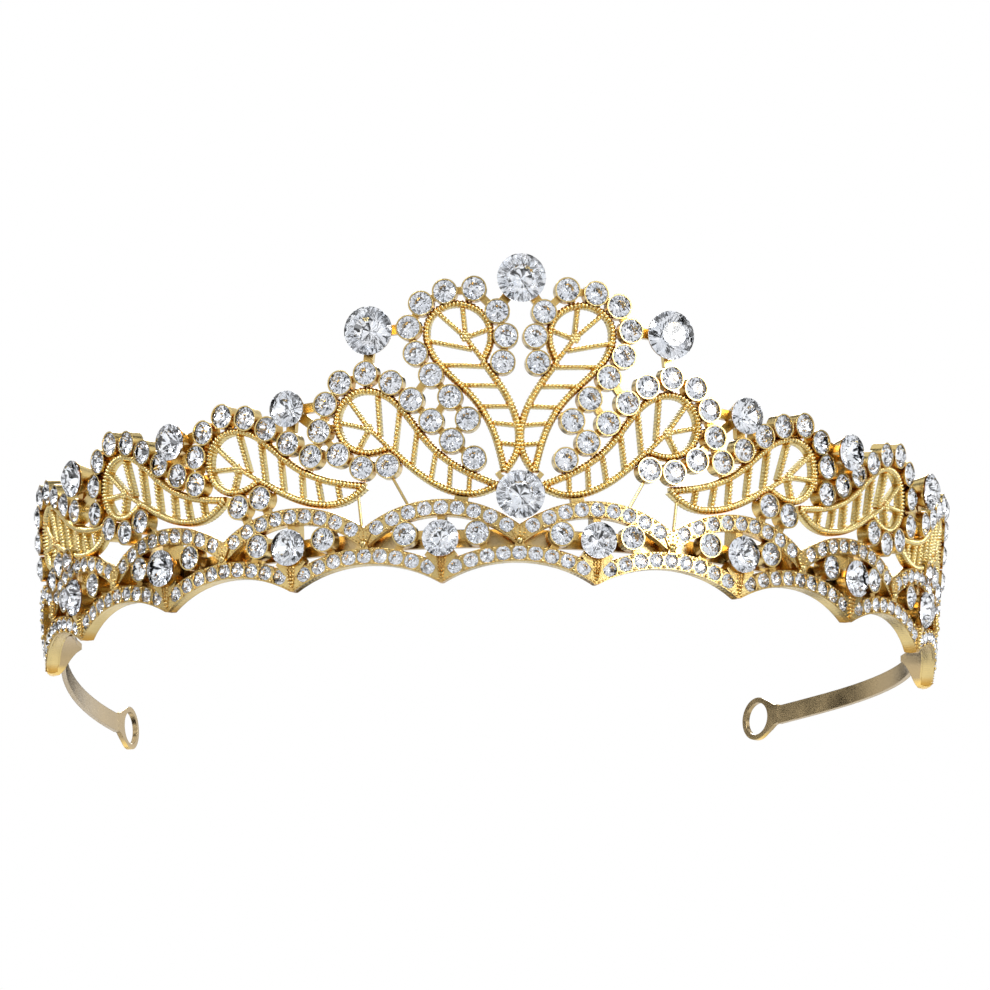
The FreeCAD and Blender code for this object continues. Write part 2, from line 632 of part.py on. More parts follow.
def build_right_half(parts, strip, lower, knots, plate):
    """Parts of the right half, each trimmed to the ones built before it."""
    arches = [rail_blank(centre, ARCH_ROW_TOP, ARCH_ROW_RADIUS, ARCH_RAIL_HALF)
              for centre in cell_centres()]
    end_arch = main_solid(trimmed(end_arch_blank(), lower + arches + knots))
    arch_places = []
    for number, centre in enumerate(cell_centres(), 1):
        places = row_places(centre, ARCH_ROW_TOP, ARCH_ROW_RADIUS, ARCH_STONE_STEP)
        arch_places += places
        rail = main_solid(trimmed(arches[number - 1], lower + knots))
        parts["arch_rail_%d" % number] = set_with(rail, PAVE, places)
    arch_places += END_ARCH_STONES
    end_piece = set_with(end_arch, PAVE, END_ARCH_STONES).fuse(end_fan())
    parts["arch_end"] = main_solid(trimmed(end_piece, lower + knots))
    parts["end_plate"] = main_solid(trimmed(plate, arches + [end_arch, strip]))

    rails = lower + knots + arches + [end_arch]
    for number, centre in enumerate(cell_centres(), 1):
        setting = trimmed(cell_setting(centre), rails + [strip])
        parts["cell_setting_%d" % number] = main_solid(setting)

    leaves = []
    for number, casting in enumerate(CASTINGS, 1):
        leaves.append(trimmed(leaf(casting), rails + leaves))
        parts["leaf_%d" % number] = leaves[-1]
    right_half = wall_slab(-BLANK_DEPTH, BLANK_DEPTH, 0, HALF_REACH)
    rings = []
    for number, casting in enumerate(CASTINGS, 1):
        ring = cup_ring(casting, CASTING_TIES[number - 1]).common(right_half)
        seats = [seat(RING, place, CUP_HOLE_SHARE) for other in CASTINGS if other is not casting
                 for place in ring_places(other)]
        rings.append(trimmed(ring, rails + leaves + rings + seats))
        parts["cup_ring_%d" % number] = rings[-1]

    places = [place for casting in CASTINGS for place in ring_places(casting)]
    ring_stones = [stone(RING, place) for place in places]
    crest = [main_solid(trimmed(crest_cup(item), leaves + rings + ring_stones))
             for item in CREST_SIDE]
    parts["crest_cups"] = Part.makeCompound(crest)
    supports = [bar(*PAD, PAD_WIDTH, LEAF_BACK)] + [wire(start, end) for start, end in WIRES]
    neighbours = rails + leaves + rings + crest
    parts["supports"] = Part.makeCompound(
        [main_solid(trimmed(support, neighbours)) for support in supports])
    return rails, leaves, rings, ring_stones, arch_places


def cell_stones(size, places):
    return [stone(size, place) for place in places]


def both_sides(solids):
    return Part.makeCompound(solids + [mirrored(solid) for solid in solids])


def build_tiara():
    """Every part of the tiara by name."""
    tiara = {}
    strip = headband_strip()
    lower, lower_places = lower_blanks()
    plate = end_plate()
    lower[-1] = main_solid(lower[-1].cut([plate, plan_column(TIP_BACK_CUT),
                                          plan_column(TIP_FRONT_CUT)]))
    lower[0] = mirrored(lower[-1])
    knots = [main_solid(trimmed(knot(count * CELL_PITCH), lower + [strip]))
             for count in range(-CELLS_PER_SIDE, CELLS_PER_SIDE + 1)]
    half = {}
    rails, leaves, rings, ring_stones, arch_places = build_right_half(
        half, strip, lower, knots, plate)
    for name, shape in half.items():
        tiara[name + "_right"] = shape
        tiara[name + "_left"] = mirrored(shape)

    tiara["headband_strip"] = strip
    tiara["end_loop_left"] = end_loop(-1, strip)
    tiara["end_loop_right"] = end_loop(1, strip)
    tiara["lower_rail"] = set_with(joined(lower), PAVE, lower_places)

    tiara["arch_knots"] = Part.makeCompound(knots)

    near = rails + leaves[:2] + rings[:2]
    near += [mirrored(part) for part in near]
    tiara["crest_cup_top"] = main_solid(trimmed(crest_cup(CREST_TOP), near))
    tiara["crest_cup_low"] = main_solid(trimmed(crest_cup(CREST_LOW), near))

    centres = cell_centres()
    tiara["pave_stones_lower"] = Part.makeCompound(cell_stones(PAVE, lower_places))
    tiara["pave_stones_arches"] = both_sides(cell_stones(PAVE, arch_places))
    middles = [cell_places(centre)[0] for centre in centres]
    sides = [place for centre in centres for place in cell_places(centre)[1]]
    tiara["cell_centre_stones"] = both_sides(cell_stones(CELL_CENTRE, middles))
    tiara["cell_side_stones"] = both_sides(cell_stones(CELL_SIDE, sides))
    tiara["ring_stones_right"] = Part.makeCompound(ring_stones)
    tiara["ring_stones_left"] = mirrored(tiara["ring_stones_right"])
    tiara["crest_stones_small"] = both_sides(
        [stone(item["size"], item["at"]) for item in CREST_SIDE[1:]])
    large = stone(CREST_SIDE[0]["size"], CREST_SIDE[0]["at"])
    tiara["crest_stones_large"] = Part.makeCompound(
        [stone(CREST_LARGE, item["at"]) for item in (CREST_TOP, CREST_LOW)]
        + [large, mirrored(large)])
    return tiara


os.makedirs("parts", exist_ok=True)
for part_name, part_shape in build_tiara().items():
    without_scraps(part_shape).exportStep("parts/" + part_name + ".step")
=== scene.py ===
import math

import bpy
import numpy as np
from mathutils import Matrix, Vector


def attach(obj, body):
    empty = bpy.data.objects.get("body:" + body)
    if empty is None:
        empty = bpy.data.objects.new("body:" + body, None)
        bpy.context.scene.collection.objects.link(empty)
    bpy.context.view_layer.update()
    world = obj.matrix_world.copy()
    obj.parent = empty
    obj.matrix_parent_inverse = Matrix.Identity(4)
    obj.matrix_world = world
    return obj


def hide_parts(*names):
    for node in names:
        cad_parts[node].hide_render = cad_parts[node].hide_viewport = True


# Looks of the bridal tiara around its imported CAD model.  Sizes are in millimetres on the leaning
# wall, as in the CAD: (along, up, out), and MM turns them into Blender's metres.

MM = 0.001
RANDOM_SEED = 7

# --- the wall, as in the CAD ----------------------------------------------------------------------
WALL_RADIUS = 72.0
WALL_LEAN = math.radians(4.0)
CELL_PITCH = math.pi * WALL_RADIUS / 9
CELLS_PER_SIDE = 4

# --- the paisley casting and its ten places, as in the CAD ----------------------------------------
LEAF_TOP_EDGE = [(0, 0), (6.2, 1.3), (11.7, 3.9), (16.7, 8.2), (21.7, 11.1), (26.2, 10.3),
                 (28.0, 5.8), (25.2, 1.7), (21.5, 1.25), (18.4, 2.6)]
LEAF_LOW_EDGE = [(18.4, 2.6), (14.9, 0.4), (11.1, -1.5), (7.0, -2.5), (3.0, -2.0), (0, 0)]
LEAF_RIBS = [((4.9, 1.0), (4.4, -2.2)), ((8.3, 2.1), (7.6, -2.3)), ((11.0, 3.4), (10.8, -1.4)),
             ((14.7, 6.2), (14.2, 0.3)), ((18.2, 9.2), (17.5, 2.2)), ((22.3, 11.1), (20.4, 4.2))]
LEAF_FAN_CENTRE = (22.4, 5.1)
LEAF_FAN_ENDS = [(26.9, 9.4), (28.0, 5.4), (23.6, 1.4), (18.6, 2.6)]
CASTINGS = [
    {"tail": (2.4, 18.3), "turn": 87.3, "flip": -1},
    {"tail": (3.4, 16.1), "turn": 12.5, "flip": 1},
    {"tail": (24.9, 16.5), "turn": 0.0, "flip": 1},
    {"tail": (50.0, 16.7), "turn": -1.0, "flip": 1},
    {"tail": (77.7, 17.3), "turn": -8.0, "flip": 1},
]

# --- leaf bands: half round in front, notched across like the cast original -----------------------
BAND_ARC_POINTS = 9
BAND_SHOULDER = 0.45
NOTCH_NARROWING = 0.1
SMOOTH_BAND_ANGLE = 50
SMOOTH_BEAD_ANGLE = 60
FAN_BEADS = 6
FAN_BEAD_CIRCLE = 0.55
FAN_BEAD = (0.5, 0.36)
FAN_MIDDLE_BEAD = (0.6, 0.42)
BAND_BACK = -0.9
EDGE_HALF_WIDTH = 0.63
EDGE_FRONT = 0.9
RIB_HALF_WIDTH = 0.44
RIB_FRONT = 0.62
BAND_STEP = 0.09
NOTCH_PITCH = 0.62
NOTCH_DEPTH = 0.32

# --- small beads and fluting on the rails; the rows and the rail's half width are the CAD's -------
PRONG_REACH = 3.3
PRONG_ASIDE = 1.0
PRONG_OUT = 1.28
PRONG_RADIUS = 0.31
LOWER_ROW_TOP = 4.87
LOWER_ROW_RADIUS = 25.5
ARCH_ROW_TOP = 12.4
ARCH_ROW_RADIUS = 20.0
RAIL_HALF = 1.35
RAIL_EDGE_INSET = 0.16
RAIL_EDGE_HALF_WIDTH = 0.2
RAIL_EDGE_FRONT = 1.2
RAIL_EDGE_REACH = 0.99
RAIL_EDGE_STEP = 0.15
CUSP_LINES = [[(-0.55, 4.9), (-0.5, 3.2), (-0.12, 0.9)], [(0.55, 4.9), (0.5, 3.2), (0.12, 0.9)],
              [(0.0, 4.9), (0.0, 0.7)]]
CUSP_RIDGE_HALF_WIDTH = 0.3
CUSP_RIDGE_FRONT = 1.52
KNOT_LINES = [[(-0.5, 6.0), (-0.25, 7.0), (-0.85, 8.6), (-0.45, 9.2)],
              [(0.5, 6.0), (0.25, 7.0), (0.85, 8.6), (0.45, 9.2)],
              [(0.0, 6.0), (0.0, 9.3)]]
KNOT_RIDGE_HALF_WIDTH = 0.3
KNOT_RIDGE_FRONT = 1.62
KNOT_BEAD = (6.9, 1.35, 0.62)

# --- cut of the stones, for a stone of radius 1 ---------------------------------------------------
TABLE_SHARE = 0.5
CROWN_SHARE = 0.34
GIRDLE_SHARE = 0.07
PAVILION_SHARE = 0.86
CUT_PAVILION = 0.79
STAR_RADIUS = 0.79
LOWER_RADIUS = 0.32
STONE_NODES = {"pave_stones_lower": 8, "pave_stones_arches": 8, "ring_stones_left": 8,
               "ring_stones_right": 8, "cell_side_stones": 8, "cell_centre_stones": 12,
               "crest_stones_small": 12, "crest_stones_large": 14}

# --- which CAD nodes are matte --------------------------------------------------------------------
MATTE_NODES = ("headband_strip", "end_loop", "end_plate")

# --- pale and dark cards that the stones and the gold reflect -------------------------------------
CARD_SPOKES = 22.0
CARD_BANDS = 2.2

# --- camera ---------------------------------------------------------------------------------------
CAMERA_AZIMUTH = math.radians(-3.85)
CAMERA_ELEVATION = math.radians(-12.95)
CAMERA_DISTANCE = 6.0
FRAME_WIDTH = 0.1628
CAMERA_SHIFT_RIGHT = 0.92
CAMERA_SHIFT_UP = 30.4
SENSOR_WIDTH = 36.0


# --- places on the wall ---------------------------------------------------------------------------

def on_wall(along, up, out):
    """Points of the leaning wall in metres, from arrays in millimetres."""
    angle = along / WALL_RADIUS
    radius = WALL_RADIUS + up * math.sin(WALL_LEAN) + out * math.cos(WALL_LEAN)
    height = up * math.cos(WALL_LEAN) - out * math.sin(WALL_LEAN)
    return np.stack([radius * np.sin(angle), -radius * np.cos(angle), height], -1) * MM


def smooth_line(points, step):
    """Evenly spaced places along a natural cubic spline through the points."""
    points = np.array(points, float)
    if len(points) == 2:
        count = max(2, int(np.linalg.norm(points[1] - points[0]) / step) + 1)
        share = np.linspace(0, 1, count)[:, None]
        return points[0] * (1 - share) + points[1] * share
    gaps = np.linalg.norm(np.diff(points, axis=0), axis=1)
    knots = np.concatenate([[0], np.cumsum(gaps)])
    size = len(points)
    matrix = np.zeros((size, size))
    matrix[0, 0] = matrix[-1, -1] = 1
    right = np.zeros((size, 2))
    for i in range(1, size - 1):
        matrix[i, i - 1:i + 2] = gaps[i - 1], 2 * (gaps[i - 1] + gaps[i]), gaps[i]
        right[i] = 6 * ((points[i + 1] - points[i]) / gaps[i]
                        - (points[i] - points[i - 1]) / gaps[i - 1])
    bend = np.linalg.solve(matrix, right)
    count = max(4, int(knots[-1] / step))
    dense = np.linspace(0, knots[-1], 4 * count)
    span = np.clip(np.searchsorted(knots, dense, side="right") - 1, 0, size - 2)
    gap = gaps[span][:, None]
    after = dense[:, None] - knots[span][:, None]
    before = gap - after
    line = (bend[span] * before ** 3 + bend[span + 1] * after ** 3) / (6 * gap)
    line += (points[span] / gap - bend[span] * gap / 6) * before
    line += (points[span + 1] / gap - bend[span + 1] * gap / 6) * after
    travel = np.concatenate([[0], np.cumsum(np.linalg.norm(np.diff(line, axis=0), axis=1))])
    even = np.linspace(0, travel[-1], count)
    return np.stack([np.interp(even, travel, line[:, axis]) for axis in (0, 1)], -1)


def casting_line(casting, points):
    """Wall places of points given in the casting's own flat frame."""
    turn = math.radians(casting["turn"])
    ahead = points[:, 0]
    aside = points[:, 1] * casting["flip"]
    return np.stack([casting["tail"][0] + ahead * math.cos(turn) - aside * math.sin(turn),
                     casting["tail"][1] + ahead * math.sin(turn) + aside * math.cos(turn)], -1)


# --- meshes ---------------------------------------------------------------------------------------

class MeshParts:
    """Collects vertices and faces of one piece."""

    def __init__(self):
        self.vertices = []
        self.faces = []
        self.slots = []
        self.total = 0

    def add(self, vertices, faces, slots=None):
        self.vertices.append(np.asarray(vertices))
        self.faces += [[index + self.total for index in face] for face in faces]
        self.slots += list(slots) if slots is not None else [0] * len(faces)
        self.total += len(vertices)

    def build(self, name, materials, replaced=(), smooth_angle=None):
        mesh = bpy.data.meshes.new(name)
        mesh.from_pydata(np.concatenate(self.vertices).tolist(), [], self.faces)
        for material in materials:
            mesh.materials.append(material)
        mesh.polygons.foreach_set("material_index", self.slots)
        if smooth_angle is not None:
            mesh.polygons.foreach_set("use_smooth", [True] * len(self.faces))
            mesh.set_sharp_from_angle(angle=math.radians(smooth_angle))
        mesh.validate()
        mesh.update()
        piece = bpy.data.objects.new(name, mesh)
        bpy.context.scene.collection.objects.link(piece)
        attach(piece, "root")
        if replaced:
            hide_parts(*replaced)
        return piece


def tube_faces(rings, around):
    """Faces of a closed tube with flat ends; the rings run along it."""
    faces = []
    for ring in range(rings - 1):
        for side in range(around):
            here = ring * around + side
            beside = ring * around + (side + 1) % around
            faces.append([here, beside, beside + around, here + around])
    faces.append(list(range(around))[::-1])
    last = (rings - 1) * around
    faces.append(list(range(last, last + around)))
    return faces


def notched_band(parts, line, half_width, front):
    """Band along a wall line: flat behind, half round in front, with grooves across it."""
    ahead = np.gradient(line, axis=0)
    ahead /= np.linalg.norm(ahead, axis=1)[:, None]
    across = np.stack([-ahead[:, 1], ahead[:, 0]], -1)
    travel = np.concatenate([[0], np.cumsum(np.linalg.norm(np.diff(line, axis=0), axis=1))])
    wave = 0.5 + 0.5 * np.cos(2 * math.pi * travel / NOTCH_PITCH)
    groove = wave ** 2
    turns = np.linspace(0, math.pi, BAND_ARC_POINTS)
    aside_shape = np.concatenate([[1.0], np.cos(turns), [-1.0]])
    arc = BAND_SHOULDER + (1 - BAND_SHOULDER) * np.sin(turns)
    rise = np.concatenate([[0.0], arc, [0.0]])
    rings = []
    for aside, height in zip(aside_shape, rise):
        place = line + across * (aside * half_width * (1 - NOTCH_NARROWING * groove))[:, None]
        out = BAND_BACK + (front - BAND_BACK) * height - NOTCH_DEPTH * groove * (height > 0)
        rings.append(on_wall(place[:, 0], place[:, 1], out))
    around = len(aside_shape)
    vertices = np.stack(rings, 1).reshape(-1, 3)
    parts.add(vertices, [face[::-1] for face in tube_faces(len(line), around)])


def bead_faces(around, layers):
    """Faces of a closed ball: a bottom point, rings of points, and a top point."""
    last = 1 + layers * around
    faces = []
    for step in range(around):
        after = (step + 1) % around
        faces.append([0, 1 + after, 1 + step])
        for layer in range(layers - 1):
            low = 1 + layer * around
            faces.append([low + step, low + after, low + around + after, low + around + step])
        top = 1 + (layers - 1) * around
        faces.append([top + step, top + after, last])
    return faces


def ball(parts, place, radius):
    """Small bead on the wall."""
    along, up, out = place
    around, layers = 10, 5
    vertices = [on_wall(along, up, out - radius)]
    for layer in range(1, layers + 1):
        tilt = math.pi * layer / (layers + 1)
        for step in range(around):
            turn = 2 * math.pi * step / around
            vertices.append(on_wall(along + radius * math.sin(tilt) * math.cos(turn),
                                    up + radius * math.sin(tilt) * math.sin(turn),
                                    out - radius * math.cos(tilt)))
    vertices.append(on_wall(along, up, out + radius))
    parts.add(np.array(vertices), bead_faces(around, layers))


def world_ball(parts, centre, radius):
    """Small round bead at a point given in metres."""
    around, layers = 8, 5
    vertices = [(0, 0, -1)]
    for layer in range(1, layers + 1):
        tilt = math.pi * layer / (layers + 1)
        for step in range(around):
            turn = 2 * math.pi * step / around
            vertices.append((math.sin(tilt) * math.cos(turn), math.sin(tilt) * math.sin(turn),
                             -math.cos(tilt)))
    vertices.append((0, 0, 1))
    parts.add(centre + radius * np.array(vertices), bead_faces(around, layers))


# --- stones ---------------------------------------------------------------------------------------

def merged_islands(node):
    """Vertex groups of a CAD node's separate solids, as arrays of points in metres."""
    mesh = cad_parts[node].data
    points = np.zeros(len(mesh.vertices) * 3)
    mesh.vertices.foreach_get("co", points)
    points = points.reshape(-1, 3)
    places, same = np.unique(np.round(points, 6), axis=0, return_inverse=True)
    same = same.reshape(-1)
    edges = np.zeros(len(mesh.edges) * 2, np.int32)
    mesh.edges.foreach_get("vertices", edges)
    edges = same[edges.reshape(-1, 2)]
    label = np.arange(len(places))
    while True:
        lowest = np.minimum(label[edges[:, 0]], label[edges[:, 1]])
        updated = label.copy()
        np.minimum.at(updated, edges[:, 0], lowest)
        np.minimum.at(updated, edges[:, 1], lowest)
        updated = updated[updated]
        if np.array_equal(updated, label):
            break
        label = updated
    return [places[label == value] for value in np.unique(label)]


def stone_frames(node):
    """Point of each stone's back, its axes (along, up, out) and its radius."""
    found = []
    for points in merged_islands(node):
        middle = points.mean(0)
        for _ in range(2):
            angle = math.atan2(middle[0], -middle[1])
            out = np.array([math.cos(WALL_LEAN) * math.sin(angle),
                            -math.cos(WALL_LEAN) * math.cos(angle), -math.sin(WALL_LEAN)])
            middle = points[np.argmin(points @ out)]
        along = np.array([math.cos(angle), math.sin(angle), 0.0])
        offsets = points - middle
        reach = offsets - np.outer(offsets @ out, out)
        radius = np.linalg.norm(reach, axis=1).max()
        found.append((middle, along, np.cross(out, along), out, radius))
    return found


def brilliant(sides):
    """Cut stone of radius 1, with the CAD stone's point at the origin: vertices, faces, slots."""
    half = math.pi / sides
    table_height = PAVILION_SHARE + GIRDLE_SHARE + CROWN_SHARE
    slope = CROWN_SHARE / (1 - TABLE_SHARE)
    star_height = PAVILION_SHARE + GIRDLE_SHARE + slope * (1 - STAR_RADIUS * math.cos(half))
    point_height = PAVILION_SHARE - CUT_PAVILION
    lower_height = point_height + CUT_PAVILION * LOWER_RADIUS * math.cos(half)

    def ring(radius, height, count, start):
        turns = [start + 2 * math.pi * step / count for step in range(count)]
        return [(radius * math.cos(turn), radius * math.sin(turn), height) for turn in turns]

    vertices = ring(TABLE_SHARE, table_height, sides, 0)
    vertices += ring(STAR_RADIUS, star_height, sides, half)
    vertices += ring(1.0, PAVILION_SHARE + GIRDLE_SHARE, 2 * sides, 0)
    vertices += ring(1.0, PAVILION_SHARE, 2 * sides, 0)
    vertices += ring(LOWER_RADIUS, lower_height, sides, half)
    vertices.append((0, 0, point_height))
    table, star, upper, lower, back = 0, sides, 2 * sides, 4 * sides, 6 * sides
    point = 7 * sides
    faces = [list(range(sides))]
    slots = [0]
    for step in range(sides):
        after = (step + 1) % sides
        before = (step - 1) % sides
        here = 2 * step
        beside = (2 * step + 1) % (2 * sides)
        ahead = (2 * step + 2) % (2 * sides)
        faces += [[table + step, star + step, table + after],
                  [table + step, star + before, upper + here, star + step],
                  [star + step, upper + here, upper + beside],
                  [star + step, upper + beside, upper + ahead],
                  [upper + here, lower + here, lower + beside, upper + beside],
                  [upper + beside, lower + beside, lower + ahead, upper + ahead]]
        slots += [0] * 6
        faces += [[back + step, lower + beside, lower + here],
                  [back + step, lower + ahead, lower + beside],
                  [point, back + step, lower + here, back + before]]
        slots += [1] * 3
    return np.array(vertices), faces, slots


def build_stones(name, node, sides, materials, generator):
    """All the stones of one CAD node, each spun by chance about its own axis."""
    vertices, faces, slots = brilliant(sides)
    parts = MeshParts()
    for point, along, up, out, radius in stone_frames(node):
        spin = generator.uniform(0, 2 * math.pi)
        first = along * math.cos(spin) + up * math.sin(spin)
        second = up * math.cos(spin) - along * math.sin(spin)
        placed = point + radius * vertices @ np.stack([first, second, out])
        parts.add(placed, faces, slots)
    return parts.build(name, materials, [node])


# --- materials ------------------------------------------------------------------------------------

GOLD_PATCH_SCALE = 260.0
GOLD_PATCH_SHADE = 0.88
GOLD_WEAR = 0.25
# Reach of the ambient occlusion that finds the hollows where gold() paints its hollow colour:
# painted shade in the leaf and setting gold, painted light in the matte gold.
PAINTED_HOLLOW_REACH = 1.6
STONE_IOR = 1.62
HAZE_SCALE = 900.0
MOTTLE_SCALE = 700.0


def new_material(name):
    material = bpy.data.materials.new(name)
    material.use_nodes = True
    tree = material.node_tree
    tree.nodes.clear()
    return material, tree


def node(tree, kind, **values):
    made = tree.nodes.new(kind)
    for key, value in values.items():
        if hasattr(made, key):
            setattr(made, key, value)
        else:
            made.inputs[key.replace("_", " ")].default_value = value
    return made


def ramp(tree, source, stops):
    made = tree.nodes.new("ShaderNodeValToRGB")
    elements = made.color_ramp.elements
    while len(elements) < len(stops):
        elements.new(0.5)
    for element, (position, colour) in zip(elements, stops):
        element.position = position
        element.color = colour
    tree.links.new(source, made.inputs["Fac"])
    return made.outputs["Color"]


def grey(level):
    return (level, level, level, 1.0)


def gold(name, light, painted_hollow_colour, painted_hollow_range, roughness, grain_size, grain_depth, bevel):
    """Plated metal: patchy tone, a hollow colour painted into the recesses by ambient occlusion
    (painted shade where it is darker than the tone, painted light where it is brighter), fine
    grain, softened edges.
    """
    material, tree = new_material(name)
    shader = node(tree, "ShaderNodeBsdfPrincipled", Metallic=1.0)
    output = tree.nodes.new("ShaderNodeOutputMaterial")
    tree.links.new(shader.outputs["BSDF"], output.inputs["Surface"])
    place = tree.nodes.new("ShaderNodeTexCoord")

    patches = node(tree, "ShaderNodeTexNoise", Scale=GOLD_PATCH_SCALE, Detail=3.0)
    tree.links.new(place.outputs["Object"], patches.inputs["Vector"])
    shaded = [channel * GOLD_PATCH_SHADE for channel in light]
    tone = ramp(tree, patches.outputs["Fac"], [(0.35, (*shaded, 1)), (0.65, (*light, 1))])
    # Painted shade and light: ambient occlusion mixes the hollow colour into the recesses, in place
    # of the shade and orange inter-reflected light that gather there.
    painted_hollow_mask = node(tree, "ShaderNodeAmbientOcclusion", samples=6, Distance=PAINTED_HOLLOW_REACH * MM)
    share = ramp(tree, painted_hollow_mask.outputs["AO"],
                 [(painted_hollow_range[0], grey(1.0)), (painted_hollow_range[1], grey(0.0))])
    mix = node(tree, "ShaderNodeMix", data_type="RGBA")
    tree.links.new(share, mix.inputs["Factor"])
    tree.links.new(tone, mix.inputs[6])
    mix.inputs[7].default_value = (*painted_hollow_colour, 1)
    tree.links.new(mix.outputs[2], shader.inputs["Base Color"])

    wear = ramp(tree, patches.outputs["Fac"],
                [(0.3, grey(roughness * (1 - GOLD_WEAR))),
                 (0.7, grey(roughness * (1 + GOLD_WEAR)))])
    tree.links.new(wear, shader.inputs["Roughness"])

    grain = node(tree, "ShaderNodeTexNoise", Scale=1.0 / (grain_size * MM), Detail=2.0)
    tree.links.new(place.outputs["Object"], grain.inputs["Vector"])
    soft = node(tree, "ShaderNodeBevel", samples=4, Radius=bevel * MM)
    bump = node(tree, "ShaderNodeBump", Strength=1.0, Distance=grain_depth * MM)
    tree.links.new(grain.outputs["Fac"], bump.inputs["Height"])
    tree.links.new(soft.outputs["Normal"], bump.inputs["Normal"])
    tree.links.new(bump.outputs["Normal"], shader.inputs["Normal"])
    return material


def crystal():
    """Clear front of a stone, with the faintest haze and scratches."""
    material, tree = new_material("stone_crystal")
    shader = node(tree, "ShaderNodeBsdfPrincipled", IOR=STONE_IOR)
    shader.inputs["Transmission Weight"].default_value = 1.0
    output = tree.nodes.new("ShaderNodeOutputMaterial")
    tree.links.new(shader.outputs["BSDF"], output.inputs["Surface"])
    place = tree.nodes.new("ShaderNodeTexCoord")
    haze = node(tree, "ShaderNodeTexNoise", Scale=HAZE_SCALE, Detail=4.0)
    tree.links.new(place.outputs["Object"], haze.inputs["Vector"])
    tint = ramp(tree, haze.outputs["Fac"],
                [(0.3, (0.93, 0.95, 0.99, 1)), (0.7, (0.99, 0.995, 1.0, 1))])
    tree.links.new(tint, shader.inputs["Base Color"])
    polish = ramp(tree, haze.outputs["Fac"], [(0.45, grey(0.0)), (0.8, grey(0.035))])
    tree.links.new(polish, shader.inputs["Roughness"])
    return material


def foil():
    """Silvered back of a stone."""
    material, tree = new_material("stone_foil")
    shader = node(tree, "ShaderNodeBsdfPrincipled", Metallic=1.0)
    output = tree.nodes.new("ShaderNodeOutputMaterial")
    tree.links.new(shader.outputs["BSDF"], output.inputs["Surface"])
    place = tree.nodes.new("ShaderNodeTexCoord")
    mottle = node(tree, "ShaderNodeTexNoise", Scale=MOTTLE_SCALE, Detail=2.0)
    tree.links.new(place.outputs["Object"], mottle.inputs["Vector"])
    tint = ramp(tree, mottle.outputs["Fac"],
                [(0.35, (0.82, 0.84, 0.87, 1)), (0.65, (0.97, 0.97, 0.98, 1))])
    tree.links.new(tint, shader.inputs["Base Color"])
    polish = ramp(tree, mottle.outputs["Fac"], [(0.4, grey(0.03)), (0.8, grey(0.1))])
    tree.links.new(polish, shader.inputs["Roughness"])
    return material


# --- pieces ---------------------------------------------------------------------------------------

def build_leaf(number, side, material):
    """One paisley casting with notched bands, ribs and a beaded fan centre."""
    casting = CASTINGS[number - 1]
    mirror = np.array([side, 1])
    parts = MeshParts()
    for line in (LEAF_TOP_EDGE, LEAF_LOW_EDGE):
        places = casting_line(casting, smooth_line(line, BAND_STEP)) * mirror
        notched_band(parts, places, EDGE_HALF_WIDTH, EDGE_FRONT)
    fan = [(LEAF_FAN_CENTRE, end) for end in LEAF_FAN_ENDS]
    for rib in LEAF_RIBS + fan:
        places = casting_line(casting, smooth_line(rib, BAND_STEP)) * mirror
        notched_band(parts, places, RIB_HALF_WIDTH, RIB_FRONT)
    centre = casting_line(casting, np.array([LEAF_FAN_CENTRE]))[0] * mirror
    for turn in range(FAN_BEADS):
        angle = 2 * math.pi * turn / FAN_BEADS
        ball(parts, (centre[0] + FAN_BEAD_CIRCLE * math.cos(angle),
                     centre[1] + FAN_BEAD_CIRCLE * math.sin(angle), FAN_BEAD[0]), FAN_BEAD[1])
    ball(parts, (centre[0], centre[1], FAN_MIDDLE_BEAD[0]), FAN_MIDDLE_BEAD[1])
    name = "leaf_%d_%s" % (number, "right" if side > 0 else "left")
    return parts.build(name + "_cast", [material], [name],
                       smooth_angle=SMOOTH_BAND_ANGLE)


def build_prongs(name, stone_nodes, material):
    """Beads that hold the small stones, above and below the gap between two neighbours."""
    parts = MeshParts()
    for stone_node in stone_nodes:
        found = stone_frames(stone_node)
        for index, (point, along, up, out, radius) in enumerate(found):
            for other, _, _, other_out, _ in found[index + 1:]:
                gap = other - point
                reach = np.linalg.norm(gap)
                if reach > PRONG_REACH * MM:
                    continue
                middle_out = (out + other_out) / np.linalg.norm(out + other_out)
                aside = np.cross(middle_out, gap / reach)
                for sign in (-1, 1):
                    middle = (point + other) / 2 + aside * sign * PRONG_ASIDE * MM
                    world_ball(parts, middle + middle_out * PRONG_OUT * MM, PRONG_RADIUS * MM)
    return parts.build(name, [material], smooth_angle=SMOOTH_BEAD_ANGLE)


def build_knots(material):
    """Fluting and a waist bead on every arch knot."""
    parts = MeshParts()
    up_bead, out_bead, radius = KNOT_BEAD
    for count in range(-CELLS_PER_SIDE, CELLS_PER_SIDE + 1):
        for line in KNOT_LINES:
            places = smooth_line(line, BAND_STEP) + (count * CELL_PITCH, 0)
            notched_band(parts, places, KNOT_RIDGE_HALF_WIDTH, KNOT_RIDGE_FRONT)
        ball(parts, (count * CELL_PITCH, up_bead, out_bead), radius)
    return parts.build("knot_fluting", [material], smooth_angle=SMOOTH_BAND_ANGLE)


